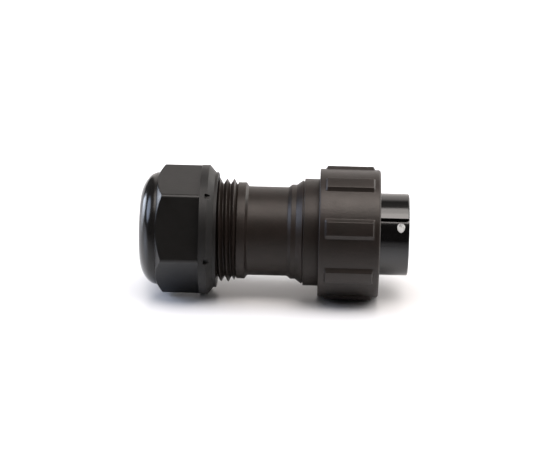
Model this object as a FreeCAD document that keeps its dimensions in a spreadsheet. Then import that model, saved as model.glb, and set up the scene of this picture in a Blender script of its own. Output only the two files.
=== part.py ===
import FreeCAD, Part
import math
import os

import Sketcher

# A cable-mounted circular bayonet plug, lying on its side. Its axis is X: the cable enters
# at x = 0 and the mating end points along +X. Z is up and -Y faces the viewer.

# Driving dimensions in millimetres and degrees. Two diameters are set by themselves: the
# gland thread's and the barrel's. From there walls, steps, heights and clearances give the
# other diameters, and lengths give the stations along the axis.
SIZES = {
    # gland thread shared by the nut and the backshell
    "threadDiameter": 22.0,
    "threadPlay": 0.05,
    "threadEngaged": 6.9,
    "threadShown": 4.2,
    "threadLead": 0.7,
    "threadRelief": 0.5,
    # gland nut
    "nutFlatWall": 0.95,
    "nutCornerTrim": 0.056,
    "cableRoom": 2.0,
    "mouthLand": 0.15,
    "domeLength": 3.8,
    "domeKnuckle": 2.75,
    "nutChamfer": 1.2,
    "nutHexLength": 9.1,
    "nutCollarLength": 1.65,
    "nutBevel": 1.3,
    "nutLipWall": 1.25,
    "nutLipLength": 0.65,
    "notchWidth": 1.2,
    "notchDepth": 0.75,
    "notchRun": 0.55,
    "mouthDepth": 2.6,
    "squeezeLength": 2.8,
    "squeezePlay": 0.2,
    "nutThreadChamfer": 0.5,
    "nutTurn": 70.7,
    # clamping cage and cable seal
    "cagePlay": 0.15,
    "fingerThickness": 1.8,
    "fingerTip": 0.55,
    "cageTipGap": 0.2,
    "fingerLength": 5.9,
    "cageRingLength": 4.4,
    "fingerCount": 10,
    "fingerSlot": 1.0,
    "sealWall": 2.1,
    "sealPlay": 0.05,
    "sealInset": 1.1,
    "sealLip": 0.8,
    "sealLipPlay": 0.4,
    # backshell
    "threadWall": 2.4,
    "counterboreDepth": 9.2,
    "webThickness": 1.5,
    "webHeight": 1.8,
    "backCollarWall": 2.3,
    "backCollarLength": 1.8,
    "backCollarSlope": 0.5,
    "chamberLedge": 1.0,
    "neckWall": 1.5,
    "neckLength": 8.45,
    "stepSlope": 0.55,
    "stepWall": 1.1,
    "stepLength": 1.35,
    "coneLength": 1.35,
    "skirtWall": 2.43,
    "skirtGroove": 0.2,
    "skirtLength": 3.5,
    "skirtEdge": 0.25,
    # plug shell
    "barrelDiameter": 17.5,
    "barrelWall": 1.8,
    "barrelShown": 6.2,
    "barrelEdge": 0.4,
    "boreStep": 0.7,
    "spigotWall": 1.32,
    "spigotPlay": 0.03,
    "faceGap": 0.05,
    "washerThickness": 0.55,
    "washerWidth": 2.1,
    "bearingStep": 0.53,
    "bearingPlay": 0.07,
    "flangeHeight": 1.02,
    "flangeThickness": 1.35,
    "clipGroove": 0.58,
    "gasketGroove": 0.72,
    "gasketSetback": 2.75,
    "gasketWidth": 0.72,
    "gasketRound": 0.2,
    # keyways in the barrel
    "keyWidth": 3.4,
    "keyDepth": 1.1,
    "minorKeyWidth": 1.6,
    "minorKeyDepth": 0.8,
    "keyRunIn": 0.3,
    "keyTurn": 58.3,
    "minorKeyFirst": 110.0,
    "minorKeySecond": 150.0,
    "minorKeyThird": 205.0,
    "minorKeyFourth": 250.0,
    "dotDiameter": 1.9,
    "dotSetback": 1.8,
    "dotSink": 0.2,
    "dotProud": 0.03,
    # inserts and contacts
    "insertPlay": 0.05,
    "insertRecess": 0.6,
    "insertFlange": 1.2,
    "rearInsertLength": 5.75,
    "grommetLength": 4.5,
    "wireSqueeze": 0.2,
    "contactInset": 2.65,
    "outerContacts": 7,
    "contactSpacing": 1.1314,
    "contactNeck": 0.1,
    "contactShoulderStep": 0.3,
    "contactShoulderLength": 0.9,
    "contactPlay": 0.05,
    "contactRecess": 0.4,
    "socketWall": 0.4,
    "socketDepth": 7.0,
    "crimpWall": 0.4,
    "crimpDepth": 4.6,
    # coupling ring
    "ringOverlap": 0.3,
    "ringSeatPlay": 0.15,
    "ringBoreGap": 0.2,
    "ringWall": 3.15,
    "ringLength": 12.9,
    "ringRound": 0.7,
    "ringBackEdge": 0.35,
    "ribHeight": 0.65,
    "ribCount": 8,
    "ribCrestHalf": 5.6,
    "ribFootHalf": 9.0,
    "ribInset": 1.2,
    "ribRun": 0.4,
    "ringMouthChamfer": 0.5,
    "ringBackDepth": 2.1,
    "ringBackGap": 0.4,
    "ringWebThickness": 2.2,
    "rampDepth": 1.3,
    "rampWidth": 2.6,
    "rampEntry": 2.5,
    "rampRise": 2.9,
    "rampTurn": 90.0,
    "rampCount": 3,
    "lockDepth": 0.6,
    # rings between the coupling ring and the plug shell
    "clipThickness": 0.6,
    "clipHeight": 0.92,
    "clipOpening": 5.0,
    "thrustThickness": 0.4,
    "slipThickness": 0.3,
    "waveHeight": 0.85,
    "waveThickness": 0.25,
    "waveInset": 0.2,
    "waveWidth": 0.7,
    "waveCount": 3,
    "interfaceStep": 0.2,
    "interfaceLength": 1.0,
    "interfaceWidth": 1.2,
}


class Size:
    # A number together with the spreadsheet expression that gives it.
    def __init__(self, value, text):
        self.value = value
        self.text = text

    def __add__(self, other):
        other = asSize(other)
        return Size(self.value + other.value, f"({self.text} + {other.text})")

    def __sub__(self, other):
        other = asSize(other)
        return Size(self.value - other.value, f"({self.text} - {other.text})")

    def __mul__(self, other):
        other = asSize(other)
        return Size(self.value * other.value, f"({self.text} * {other.text})")

    def __truediv__(self, other):
        other = asSize(other)
        return Size(self.value / other.value, f"({self.text} / {other.text})")

    def __neg__(self):
        return Size(-self.value, f"(0 - {self.text})")


def asSize(number):
    return number if isinstance(number, Size) else Size(float(number), f"{float(number):.6f}")


def sine(angle):
    return Size(math.sin(math.radians(angle.value)), f"sin({angle.text})")


def cosine(angle):
    return Size(math.cos(math.radians(angle.value)), f"cos({angle.text})")


doc = FreeCAD.newDocument("CircularConnector")
sheet = doc.addObject("Spreadsheet::Sheet", "Sizes")
for row, (alias, number) in enumerate(SIZES.items(), start=1):
    sheet.set(f"A{row}", alias)
    sheet.set(f"B{row}", str(number))
    sheet.setAlias(f"B{row}", alias)
doc.recompute()

size = {alias: Size(float(number), f"Sizes.{alias}") for alias, number in SIZES.items()}
zero = asSize(0)
parts = []


def derive(alias, radius):
    # adds a diameter that follows other sizes, its cell holding the formula
    row = len(size) + 1
    diameter = radius * 2
    sheet.set(f"A{row}", alias)
    sheet.set(f"B{row}", "=" + diameter.text.replace("Sizes.", ""))
    sheet.setAlias(f"B{row}", alias)
    size[alias] = Size(diameter.value, f"Sizes.{alias}")
    return half(alias)


def half(alias):
    return size[alias] / 2


def bind(thing, path, amount):
    thing.setExpression(path, amount.text)


def newBody(name, turn=None):
    body = doc.addObject("PartDesign::Body", name)
    body.Label = name
    if turn is not None:
        body.Placement = FreeCAD.Placement(
            FreeCAD.Vector(0, 0, 0), FreeCAD.Rotation(FreeCAD.Vector(1, 0, 0), turn.value)
        )
        bind(body, "Placement.Rotation.Angle", turn)
    parts.append(body)
    return body


def originPart(body, role):
    return next(thing for thing in body.Origin.OriginFeatures if thing.Role == role)


def newSketch(body, name, plane, offset=None, turn=None):
    # offset moves the sketch along its own normal, turn rotates it about that normal
    sketch = body.newObject("Sketcher::SketchObject", name)
    sketch.AttachmentSupport = [(originPart(body, plane), "")]
    sketch.MapMode = "FlatFace"
    shift = offset if offset is not None else zero
    angle = turn if turn is not None else zero
    sketch.AttachmentOffset = FreeCAD.Placement(
        FreeCAD.Vector(0, 0, shift.value),
        FreeCAD.Rotation(FreeCAD.Vector(0, 0, 1), angle.value),
    )
    if offset is not None:
        bind(sketch, "AttachmentOffset.Base.z", offset)
    if turn is not None:
        bind(sketch, "AttachmentOffset.Rotation.Angle", turn)
    return sketch


def holdPoint(sketch, geo, pos, across, up):
    # ties a sketch point to its distance from both sketch axes
    for kind, amount, axis in (("DistanceX", across, -2), ("DistanceY", up, -1)):
        if amount.text == zero.text:
            sketch.addConstraint(Sketcher.Constraint("PointOnObject", geo, pos, axis))
            continue
        index = sketch.addConstraint(
            Sketcher.Constraint(kind, -1, 1, geo, pos, amount.value)
        )
        bind(sketch, f"Constraints[{index}]", amount)


def arcBetween(start, end, radius, side):
    # the short arc from start to end; side is 1 with its centre left of the way, else -1
    chord = end - start
    middle = (start + end) * 0.5
    left = FreeCAD.Vector(-chord.y, chord.x, 0).normalize()
    reach = math.sqrt(max(radius**2 - (chord.Length / 2) ** 2, 0))
    centre = middle + left * (reach * side)
    first, last = (start, end) if side > 0 else (end, start)
    angles = [math.atan2(p.y - centre.y, p.x - centre.x) for p in (first, last)]
    circle = Part.Circle(centre, FreeCAD.Vector(0, 0, 1), radius)
    return Part.ArcOfCircle(circle, angles[0], angles[1])


def profile(sketch, corners, arcs=None):
    # a closed outline; arcs maps the edge after a corner to its radius and bend side
    arcs = arcs or {}
    count = len(corners)
    spots = [FreeCAD.Vector(x.value, y.value, 0) for x, y in corners]
    edges = []
    for index in range(count):
        start, end = spots[index], spots[(index + 1) % count]
        if index in arcs:
            radius, side = arcs[index]
            geo = sketch.addGeometry(arcBetween(start, end, radius.value, side))
            edges.append((geo, 1, 2) if side > 0 else (geo, 2, 1))
        else:
            geo = sketch.addGeometry(Part.LineSegment(start, end))
            edges.append((geo, 1, 2))
    for index, (geo, _, last) in enumerate(edges):
        after, first, _ = edges[(index + 1) % count]
        sketch.addConstraint(Sketcher.Constraint("Coincident", geo, last, after, first))
    for (geo, first, _), (across, up) in zip(edges, corners):
        holdPoint(sketch, geo, first, across, up)
    for index, (radius, _) in arcs.items():
        item = sketch.addConstraint(
            Sketcher.Constraint("Radius", edges[index][0], radius.value)
        )
        bind(sketch, f"Constraints[{item}]", radius)


def turned(body, corners, arcs=None, name="Turned"):
    # a piece or a step of one, turned about the X axis from its half section
    sketch = newSketch(body, name + "Section", "XZ_Plane")
    profile(sketch, corners, arcs)
    feature = body.newObject("PartDesign::Revolution", name)
    feature.Profile = sketch
    feature.ReferenceAxis = (sketch, ["H_Axis"])
    feature.Angle = 360
    body.Tip = feature
    return feature


def box(sketch, width, low, high):
    # an upright rectangle, centred on the sketch's vertical axis
    profile(sketch, [(-width / 2, low), (width / 2, low), (width / 2, high), (-width / 2, high)])


def cutAlong(body, name, sketch, length):
    # cuts from the sketch's plane along +X
    feature = body.newObject("PartDesign::Pocket", name)
    feature.Profile = sketch
    feature.Reversed = True
    feature.Length = length.value
    bind(feature, "Length", length)
    body.Tip = feature
    return feature


def slotAlong(body, name, start, end, width, low, high, turn=None):
    sketch = newSketch(body, name + "Outline", "YZ_Plane", start, turn)
    box(sketch, width, low, high)
    return cutAlong(body, name, sketch, end - start)


def around(body, name, features, count):
    pattern = body.newObject("PartDesign::PolarPattern", name)
    pattern.Originals = features
    pattern.Axis = (originPart(body, "X_Axis"), [""])
    pattern.Angle = 360
    pattern.Occurrences = int(count.value)
    bind(pattern, "Occurrences", count)
    body.Tip = pattern
    return pattern


def circleCut(body, name, start, end, diameter, centreHeight):
    sketch = newSketch(body, name + "Outline", "YZ_Plane", start)
    spot = FreeCAD.Vector(0, centreHeight.value, 0)
    geo = sketch.addGeometry(Part.Circle(spot, FreeCAD.Vector(0, 0, 1), diameter.value / 2))
    holdPoint(sketch, geo, 3, zero, centreHeight)
    index = sketch.addConstraint(Sketcher.Constraint("Radius", geo, diameter.value / 2))
    bind(sketch, f"Constraints[{index}]", diameter / 2)
    return cutAlong(body, name, sketch, end - start)


# Stations along the axis, each worked out from the pieces before it.
domeBase = size["domeLength"]
hexEnd = domeBase + size["nutHexLength"]
nutCollarEnd = hexEnd + size["nutCollarLength"]
nutBevelEnd = nutCollarEnd + size["nutBevel"]
nutEnd = nutBevelEnd + size["nutLipLength"]
squeezeEnd = size["mouthDepth"] + size["squeezeLength"]
spigotStart = nutEnd - size["threadEngaged"]
threadEnd = nutEnd + size["threadShown"]
backCollarEnd = threadEnd + size["backCollarLength"]
neckStart = backCollarEnd + size["backCollarSlope"]
neckEnd = neckStart + size["neckLength"]
stepStart = neckEnd + size["stepSlope"]
stepEnd = stepStart + size["stepLength"]
coneEnd = stepEnd + size["coneLength"]
skirtStart = coneEnd + size["skirtGroove"]
backshellEnd = skirtStart + size["skirtLength"]
counterboreEnd = spigotStart + size["counterboreDepth"]
chamberStart = counterboreEnd + size["webThickness"]
shellBack = stepStart + size["washerThickness"] + size["faceGap"] * 2
ringBack = backshellEnd - size["ringOverlap"]
ringFront = ringBack + size["ringLength"]
ringWebBack = ringBack + size["ringBackDepth"]
ringWebFront = ringWebBack + size["ringWebThickness"]
thrustBack = ringWebBack - size["faceGap"] - size["thrustThickness"]
clipBack = thrustBack - size["faceGap"] - size["clipThickness"]
slipBack = ringWebFront + size["faceGap"]
waveBack = slipBack + size["slipThickness"] + size["faceGap"] / 2
flangeBack = waveBack + size["waveHeight"] + size["faceGap"] / 2
flangeFront = flangeBack + size["flangeThickness"]
interfaceBack = flangeFront + size["faceGap"] / 2
interfaceFront = interfaceBack + size["interfaceLength"]
shellFront = ringFront + size["barrelShown"]
grommetBack = shellBack + size["faceGap"]
rearInsertBack = grommetBack + size["grommetLength"] + size["faceGap"]
frontInsertBack = rearInsertBack + size["rearInsertLength"] + size["faceGap"]
boreShoulder = frontInsertBack + size["insertFlange"] + size["faceGap"]
insertFace = shellFront - size["insertRecess"]
contactShoulderBack = frontInsertBack + size["contactPlay"]
contactShoulderFront = contactShoulderBack + size["contactShoulderLength"]
contactBack = rearInsertBack + size["contactPlay"] * 3
contactFront = insertFace - size["contactRecess"]

# Radii of the plug end, from the barrel inwards and outwards.
barrelRadius = half("barrelDiameter")
frontBore = derive("barrelBore", barrelRadius - size["barrelWall"])
backBore = derive("shellBackBore", frontBore + size["boreStep"])
spigotRadius = derive("spigotDiameter", backBore + size["spigotWall"])
socketRadius = derive("socketDiameter", spigotRadius + size["spigotPlay"])
bearingRadius = derive("bearingDiameter", barrelRadius + size["bearingStep"])
bearingBore = derive("bearingBore", bearingRadius + size["bearingPlay"])
clipRoot = derive("clipRootDiameter", bearingRadius - size["clipGroove"])
clipRadius = derive("clipDiameter", bearingRadius + size["clipHeight"])
flangeRadius = derive("flangeDiameter", bearingRadius + size["flangeHeight"])
sealLand = derive("interfaceLand", barrelRadius + size["interfaceStep"])
ringBore = derive("ringBore", flangeRadius + size["ringBoreGap"])
ringLand = derive("ringDiameter", ringBore + size["ringWall"])
ribRadius = derive("ribDiameter", ringLand + size["ribHeight"])
ringBackBore = derive("ringBackBore", clipRadius + size["ringBackGap"])
keyTurn = size["keyTurn"]

# Radii of the gland end and the backshell.
threadRadius = half("threadDiameter")
nutBore = derive("nutBore", threadRadius + size["threadPlay"])
nutFlat = derive("nutFlats", nutBore + size["nutFlatWall"])
nutRadius = derive("nutCorner", nutFlat / cosine(asSize(30)) - size["nutCornerTrim"])
nutLip = derive("nutLipDiameter", nutBore + size["nutLipWall"])
counterboreRadius = derive("counterboreDiameter", threadRadius - size["threadWall"])
squeezeRadius = derive("squeezeDiameter", counterboreRadius + size["squeezePlay"])
cageRadius = derive("cageDiameter", counterboreRadius - size["cagePlay"])
cageBore = derive("cageBore", cageRadius - size["fingerThickness"])
sealRadius = derive("sealDiameter", cageBore - size["sealPlay"])
sealBore = derive("sealBore", sealRadius - size["sealWall"])
mouthRadius = derive("mouthDiameter", sealBore + size["cableRoom"])
webRadius = derive("webBore", counterboreRadius - size["webHeight"])
chamberRadius = derive("chamberDiameter", socketRadius - size["chamberLedge"])
collarRadius = derive("backCollarDiameter", chamberRadius + size["backCollarWall"])
neckRadius = derive("neckDiameter", chamberRadius + size["neckWall"])
stepRadius = derive("stepDiameter", socketRadius + size["stepWall"])
skirtRadius = derive("skirtDiameter", socketRadius + size["skirtWall"])

# Radii of the contacts: seven share a circle round the middle one, evenly spaced.
contactCircle = derive("contactCircle", frontBore - size["contactInset"])
contactPitch = contactCircle * sine(asSize(180) / size["outerContacts"])
crimpRadius = derive("contactBarrel", contactPitch - size["contactSpacing"] / 2)
contactRadius = derive("contactDiameter", crimpRadius - size["contactNeck"])
shoulderRadius = derive("contactShoulder", crimpRadius + size["contactShoulderStep"])
socketHole = derive("socketHole", contactRadius - size["socketWall"])
crimpHole = derive("crimpHole", crimpRadius - size["crimpWall"])
wireHole = derive("wireHole", crimpRadius - size["wireSqueeze"])
doc.recompute()

# Places that the nut, the cage and the seal share.
squeezeSlope = (squeezeRadius - mouthRadius) / size["squeezeLength"]
tipRadius = cageBore + size["fingerTip"]
cageTip = size["mouthDepth"] + (tipRadius + size["cageTipGap"] - mouthRadius) / squeezeSlope
slotEnd = cageTip + size["fingerLength"]
cageEnd = slotEnd + size["cageRingLength"]


def makeGlandNut():
    body = newBody("gland_nut", size["nutTurn"])
    mouthEdge = mouthRadius + size["mouthLand"]
    entry = size["nutThreadChamfer"]
    # the dome is two tangent arcs: a tight knuckle at its base and a wide one to the mouth
    knuckle = size["domeKnuckle"]
    rise = nutFlat - knuckle - mouthEdge
    crown = (domeBase * domeBase + rise * rise - knuckle * knuckle) / ((domeBase - knuckle) * 2)
    joinX = domeBase - knuckle * (crown - domeBase) / (crown - knuckle)
    joinR = nutFlat - knuckle + knuckle * rise / (crown - knuckle)
    turned(
        body,
        [
            (zero, mouthRadius),
            (zero, mouthEdge),
            (joinX, joinR),
            (domeBase, nutFlat),
            (domeBase + size["nutChamfer"], nutRadius),
            (nutCollarEnd, nutRadius),
            (nutBevelEnd, nutLip),
            (nutEnd, nutLip),
            (nutEnd, nutBore + entry),
            (nutEnd - entry, nutBore),
            (squeezeEnd, nutBore),
            (squeezeEnd, squeezeRadius),
            (size["mouthDepth"], mouthRadius),
        ],
        {1: (crown, -1), 2: (knuckle, -1)},
    )
    flatCut = slotAlong(body, "Flat", zero, hexEnd, nutRadius * 2, nutFlat, nutRadius + 2)
    around(body, "Flats", [flatCut], asSize(6))
    # a small notch behind each corner, where the collar turns into its bevel
    notch = slotAlong(
        body,
        "Notch",
        nutCollarEnd - size["notchRun"],
        nutBevelEnd,
        size["notchWidth"],
        nutRadius - size["notchDepth"],
        nutRadius + 2,
        asSize(30),
    )
    around(body, "Notches", [notch], asSize(6))


def makeClampCage():
    body = newBody("clamp_cage")
    shoulder = cageTip + (cageRadius - tipRadius) / squeezeSlope
    turned(
        body,
        [
            (cageTip, cageBore),
            (cageTip, tipRadius),
            (shoulder, cageRadius),
            (cageEnd, cageRadius),
            (cageEnd, cageBore),
        ],
    )
    width = size["fingerSlot"]
    slot = slotAlong(body, "Slot", cageTip - 1, slotEnd, width, cageBore - 2, cageRadius + 2)
    around(body, "Slots", [slot], size["fingerCount"])


def makeCableSeal():
    body = newBody("cable_seal")
    start = cageTip + size["sealInset"]
    lipRadius = counterboreRadius - size["sealLipPlay"]
    lipStart = cageEnd + size["faceGap"]
    lipEnd = lipStart + size["sealLip"]
    turned(
        body,
        [
            (start, sealBore),
            (start, sealRadius),
            (lipStart, sealRadius),
            (lipStart, lipRadius),
            (lipEnd, lipRadius),
            (lipEnd, sealBore),
        ],
    )


def makeBackshell():
    body = newBody("backshell")
    lead = size["threadLead"]
    edge = size["skirtEdge"]
    turned(
        body,
        [
            (spigotStart, counterboreRadius),
            (spigotStart, threadRadius - lead),
            (spigotStart + lead, threadRadius),
            (threadEnd - lead, threadRadius),
            (threadEnd, collarRadius - size["threadRelief"]),
            (threadEnd, collarRadius),
            (backCollarEnd, collarRadius),
            (neckStart, neckRadius),
            (neckEnd, neckRadius),
            (stepStart, stepRadius),
            (stepEnd, stepRadius),
            (coneEnd, skirtRadius - edge),
            (skirtStart, skirtRadius - edge),
            (skirtStart, skirtRadius),
            (backshellEnd - edge, skirtRadius),
            (backshellEnd, skirtRadius - edge),
            (backshellEnd, socketRadius),
            (stepStart, socketRadius),
            (stepStart, chamberRadius),
            (chamberStart, chamberRadius),
            (chamberStart, webRadius),
            (counterboreEnd, webRadius),
            (counterboreEnd, counterboreRadius),
        ],
    )


def makePlugShell():
    body = newBody("plug_shell", keyTurn)
    gasketRoot = spigotRadius - size["gasketGroove"]
    gasketBack = backshellEnd - size["gasketSetback"]
    gasketFront = gasketBack + size["gasketWidth"] + size["faceGap"] * 2
    clipStart = clipBack - size["faceGap"]
    clipEnd = clipBack + size["clipThickness"] + size["faceGap"]
    edge = size["barrelEdge"]
    landStart = backshellEnd + size["faceGap"]
    sealLandEnd = interfaceFront + size["faceGap"]
    turned(
        body,
        [
            (shellBack, backBore),
            (shellBack, spigotRadius),
            (gasketBack, spigotRadius),
            (gasketBack, gasketRoot),
            (gasketFront, gasketRoot),
            (gasketFront, spigotRadius),
            (landStart, spigotRadius),
            (landStart, bearingRadius),
            (clipStart, bearingRadius),
            (clipStart, clipRoot),
            (clipEnd, clipRoot),
            (clipEnd, bearingRadius),
            (flangeBack, bearingRadius),
            (flangeBack, flangeRadius),
            (flangeFront, flangeRadius),
            (flangeFront, sealLand),
            (sealLandEnd, sealLand),
            (sealLandEnd, barrelRadius),
            (shellFront - edge, barrelRadius),
            (shellFront, barrelRadius - edge),
            (shellFront, frontBore + edge / 2),
            (shellFront - edge / 2, frontBore),
            (boreShoulder, frontBore),
            (boreShoulder, backBore),
        ],
        {18: (edge, -1)},
    )
    keyStart = sealLandEnd - size["keyRunIn"]
    keyFloor = barrelRadius - size["keyDepth"]
    beyond = shellFront + 1
    slotAlong(body, "MainKey", keyStart, beyond, size["keyWidth"], keyFloor, barrelRadius + 2)
    for name in ("minorKeyFirst", "minorKeySecond", "minorKeyThird", "minorKeyFourth"):
        slotAlong(
            body,
            name[0].upper() + name[1:],
            keyStart,
            beyond,
            size["minorKeyWidth"],
            barrelRadius - size["minorKeyDepth"],
            barrelRadius + 2,
            size[name],
        )
    # the dimple that holds the paint of the index dot
    sketch = newSketch(body, "DotSeatOutline", "XY_Plane", keyFloor)
    dotRadius = half("dotDiameter")
    dotX = shellFront - size["dotSetback"]
    spot = FreeCAD.Vector(dotX.value, 0, 0)
    geo = sketch.addGeometry(Part.Circle(spot, FreeCAD.Vector(0, 0, 1), dotRadius.value))
    holdPoint(sketch, geo, 3, dotX, zero)
    index = sketch.addConstraint(Sketcher.Constraint("Radius", geo, dotRadius.value))
    bind(sketch, f"Constraints[{index}]", dotRadius)
    seat = body.newObject("PartDesign::Pocket", "DotSeat")
    seat.Profile = sketch
    seat.Length = size["dotSink"].value
    bind(seat, "Length", size["dotSink"])
    body.Tip = seat


def makeIndexDot():
    dot = doc.addObject("Part::Cylinder", "index_dot")
    dot.Label = "index_dot"
    radius = half("dotDiameter")
    height = size["dotSink"] + size["dotProud"]
    floor = barrelRadius - size["keyDepth"] - size["dotSink"]
    dotX = shellFront - size["dotSetback"]
    dot.Placement = FreeCAD.Placement(
        FreeCAD.Vector(dotX.value, 0, 0),
        FreeCAD.Rotation(FreeCAD.Vector(1, 0, 0), keyTurn.value),
    )
    bind(dot, "Radius", radius)
    bind(dot, "Height", height)
    bind(dot, "Placement.Base.x", dotX)
    bind(dot, "Placement.Base.y", -(floor * sine(keyTurn)))
    bind(dot, "Placement.Base.z", floor * cosine(keyTurn))
    bind(dot, "Placement.Rotation.Angle", keyTurn)
    parts.append(dot)


def drillContacts(body, name, start, end, diameter):
    centre = circleCut(body, name + "Centre", start, end, diameter, zero)
    outer = circleCut(body, name, start, end, diameter, contactCircle)
    around(body, name + "Circle", [outer], size["outerContacts"])
    return centre


def makeFrontInsert():
    body = newBody("front_insert", keyTurn)
    flange = backBore - size["insertPlay"]
    outer = frontBore - size["insertPlay"]
    flangeEnd = frontInsertBack + size["insertFlange"]
    turned(
        body,
        [
            (frontInsertBack, zero),
            (frontInsertBack, flange),
            (flangeEnd, flange),
            (flangeEnd, outer),
            (insertFace, outer),
            (insertFace, zero),
        ],
    )
    play = size["contactPlay"] * 2
    beyond = insertFace + 1
    drillContacts(body, "Hole", frontInsertBack - 1, beyond, size["contactDiameter"] + play)
    seatEnd = contactShoulderFront + size["contactPlay"]
    drillContacts(body, "Seat", frontInsertBack - 1, seatEnd, size["contactShoulder"] + play)


def makeRearInsert():
    body = newBody("rear_insert", keyTurn)
    outer = backBore - size["insertPlay"]
    end = rearInsertBack + size["rearInsertLength"]
    turned(body, [(rearInsertBack, zero), (rearInsertBack, outer), (end, outer), (end, zero)])
    play = size["contactPlay"] * 2
    drillContacts(body, "Hole", rearInsertBack - 1, end + 1, size["contactBarrel"] + play)


def makeWireGrommet():
    body = newBody("wire_grommet", keyTurn)
    outer = backBore - size["insertPlay"]
    end = grommetBack + size["grommetLength"]
    turned(body, [(grommetBack, zero), (grommetBack, outer), (end, outer), (end, zero)])
    drillContacts(body, "Hole", grommetBack - 1, end + 1, size["wireHole"])


def makeWasher(name, back, thickness, inner, outer):
    body = newBody(name)
    front = back + thickness
    turned(body, [(back, inner), (back, outer), (front, outer), (front, inner)])
    return body


def makeContacts():
    # a turned socket with a drilled mouth, a locating shoulder and a crimp barrel behind it
    outline = [
        (contactBack, crimpHole),
        (contactBack, crimpRadius),
        (contactShoulderBack, crimpRadius),
        (contactShoulderBack, shoulderRadius),
        (contactShoulderFront, shoulderRadius),
        (contactShoulderFront, contactRadius),
        (contactFront, contactRadius),
        (contactFront, socketHole),
        (contactFront - size["socketDepth"], socketHole),
        (contactFront - size["socketDepth"], zero),
        (contactBack + size["crimpDepth"], zero),
        (contactBack + size["crimpDepth"], crimpHole),
    ]
    for number in range(int(SIZES["outerContacts"]) + 1):
        body = newBody(f"contact_{number + 1}")
        turned(body, outline)
        if number:
            turn = keyTurn + asSize(number - 1) * 360 / size["outerContacts"]
            bind(body, "Placement.Base.y", -(contactCircle * sine(turn)))
            bind(body, "Placement.Base.z", contactCircle * cosine(turn))


def makeShellGasket():
    # sits in the groove of the plug shell's rear spigot, its corners eased by short bevels
    body = newBody("shell_gasket")
    back = backshellEnd - size["gasketSetback"] + size["faceGap"]
    front = back + size["gasketWidth"]
    low = spigotRadius - size["gasketGroove"] + size["faceGap"] / 5
    high = spigotRadius
    bevel = size["gasketRound"]
    turned(
        body,
        [
            (back, low + bevel),
            (back, high - bevel),
            (back + bevel, high),
            (front - bevel, high),
            (front, high - bevel),
            (front, low + bevel),
            (front - bevel, low),
            (back + bevel, low),
        ],
    )


def makeRetainingClip():
    thickness = size["clipThickness"]
    body = makeWasher("retaining_clip", clipBack, thickness, clipRoot + size["faceGap"], clipRadius)
    end = clipBack + thickness + 1
    slotAlong(body, "Opening", clipBack - 1, end, size["clipOpening"], zero, clipRadius + 1)


def makeWaveSpring():
    # a flat ribbon ring with an even wave along the axis
    inner = bearingRadius.value + SIZES["waveInset"]
    outer = inner + SIZES["waveWidth"]
    swing = (SIZES["waveHeight"] - SIZES["waveThickness"]) / 2
    middle = waveBack.value + swing
    steps = 8 * int(SIZES["waveCount"])
    rims = []
    for radius in (inner, outer):
        points = []
        for step in range(steps):
            angle = 2 * math.pi * step / steps
            x = middle + swing * math.cos(SIZES["waveCount"] * angle)
            points.append(FreeCAD.Vector(x, radius * math.cos(angle), radius * math.sin(angle)))
        curve = Part.BSplineCurve()
        curve.interpolate(points, PeriodicFlag=True)
        rims.append(curve.toShape())
    ribbon = Part.makeRuledSurface(rims[0], rims[1])
    spring = doc.addObject("Part::Feature", "wave_spring")
    spring.Label = "wave_spring"
    spring.Shape = ribbon.extrude(FreeCAD.Vector(SIZES["waveThickness"], 0, 0))
    spring.Placement = FreeCAD.Placement()
    parts.append(spring)


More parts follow.
